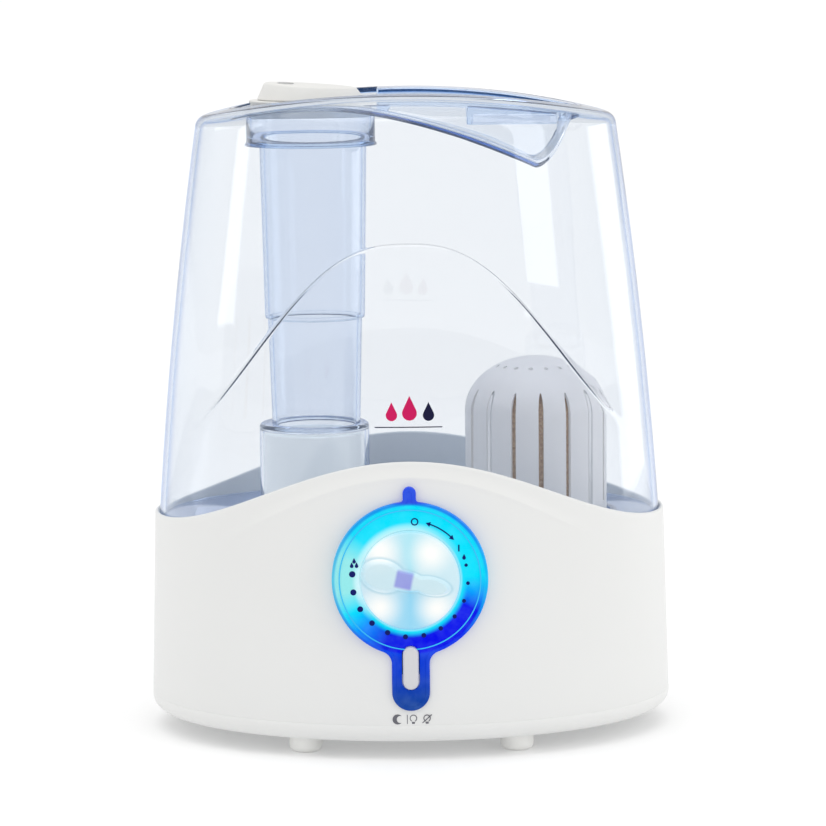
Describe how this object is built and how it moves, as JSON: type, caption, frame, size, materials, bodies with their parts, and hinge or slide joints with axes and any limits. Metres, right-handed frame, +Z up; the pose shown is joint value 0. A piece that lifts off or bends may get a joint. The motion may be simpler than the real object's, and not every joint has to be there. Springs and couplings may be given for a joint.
{
  "type": "cool mist humidifier",
  "caption": "Oval cool mist humidifier: white base with a lit dial, clear lift-off tank with mist chimney, water cartridge and turning nozzle.",
  "frame": {"origin": "centre of the footprint on the surface that the feet rest on", "axes": "+Z up, +X to the right seen from the dial, the dial faces -Y"},
  "size_m": [0.258, 0.2048, 0.3194],
  "materials": {
    "housing": "smooth white moulded plastic with a soft gloss",
    "foot_rubber": "pale matt rubber",
    "steel": "zinc plated",
    "seal_rubber": "matt silicone",
    "grey_plastic": "pale grey moulded plastic",
    "circuit_board": "green circuit board",
    "heatsink_metal": "extruded aluminium",
    "core_metal": "stacked steel sheets",
    "coil_tape": "copper winding under tape",
    "black_plastic": "black moulded plastic",
    "filter_foam": "open foam",
    "led_lens": "clear moulded lens",
    "bezel_blue": "translucent blue light guide, glossy",
    "knob_white": "translucent milky white, glossy",
    "button_white": "satin pale grey",
    "tank_clear": "clear plastic with a faint blue tint",
    "chimney_clear": "clear plastic with a blue tint",
    "nozzle_white": "smooth white moulded plastic",
    "cartridge_grey": "pale grey moulded plastic",
    "liner_tan": "fine tan mesh",
    "resin_brown": "brown resin beads"
  },
  "bodies": {
    "base": {"base_shell": "housing", "bottom_cover": "housing", "feet": "foot_rubber", "cover_screws": "steel", "base_deck": "housing", "mist_duct": "housing", "transducer_disc": "steel", "transducer_seal": "seal_rubber", "transducer_ring": "grey_plastic", "transducer_screws": "steel", "driver_board": "circuit_board", "driver_heatsink": "heatsink_metal", "power_board": "circuit_board", "transformer_core": "core_metal", "transformer_coil": "coil_tape", "board_screws": "steel", "fan_housing": "black_plastic", "air_duct": "grey_plastic", "intake_filter": "filter_foam", "float_clip": "grey_plastic", "control_board": "circuit_board", "potentiometer": "steel", "leds_white": "led_lens", "leds_blue": "led_lens", "light_switch": "black_plastic", "dial_bezel": "bezel_blue", "cord_gland": "grey_plastic"},
    "rotor": {"fan_rotor": "black_plastic"},
    "float": {"float_body": "housing"},
    "dial": {"knob": "knob_white", "dial_shaft": "grey_plastic"},
    "button": {"night_light_button": "button_white"},
    "tank": {"tank_shell": "tank_clear", "tank_top": "tank_clear", "tank_floor": "tank_clear", "chimney_upper": "chimney_clear", "chimney_lower": "chimney_clear", "tank_handle": "tank_clear"},
    "nozzle": {"nozzle_ring": "nozzle_white"},
    "spout": {"nozzle_spout": "nozzle_white"},
    "cap": {"fill_cap": "grey_plastic", "cap_gasket": "seal_rubber", "cartridge_housing": "cartridge_grey", "cartridge_sleeve": "liner_tan", "resin_fill": "resin_brown", "valve_spring": "steel"},
    "valve": {"valve_plunger": "grey_plastic", "valve_seal": "seal_rubber"}
  },
  "joints": [
    {"name": "tank_lift", "type": "slide", "parent": "base", "child": "tank", "axis": [0, 0, 1], "range_m": [0, 0.12]},
    {"name": "nozzle_lift", "type": "slide", "parent": "tank", "child": "nozzle", "axis": [0, 0, 1], "range_m": [0, 0.03]},
    {"name": "spout_turn", "type": "hinge", "parent": "nozzle", "child": "spout", "pos_m": [-0.0465, 0, 0.31], "axis": [0, 0, 1], "continuous": true},
    {"name": "knob_turn", "type": "hinge", "parent": "base", "child": "dial", "pos_m": [0, -0.0914, 0.088], "axis": [0, -1, 0], "range_deg": [0, 274]},
    {"name": "night_light_press", "type": "slide", "parent": "base", "child": "button", "axis": [0, 1, 0], "range_m": [0, 0.002], "stiffness_N_per_m": 800},
    {"name": "fan_spin", "type": "hinge", "parent": "base", "child": "rotor", "pos_m": [-0.064, 0.04, 0.03], "axis": [0, 0, 1], "continuous": true},
    {"name": "float_rise", "type": "slide", "parent": "base", "child": "float", "axis": [0, 0, 1], "range_m": [0, 0.012]},
    {"name": "cap_turn", "type": "hinge", "parent": "tank", "child": "cap", "pos_m": [0.063, 0, 0.09], "axis": [0, 0, -1], "range_deg": [0, 180]},
    {"name": "valve_slide", "type": "slide", "parent": "cap", "child": "valve", "axis": [0, 0, -1], "range_m": [0, 0.0043], "deforming": ["valve_spring"]}
  ],
  "couplings": [
    {"joint": "valve_slide", "follows": "tank_lift", "ratio": 0.0358}
  ]
}
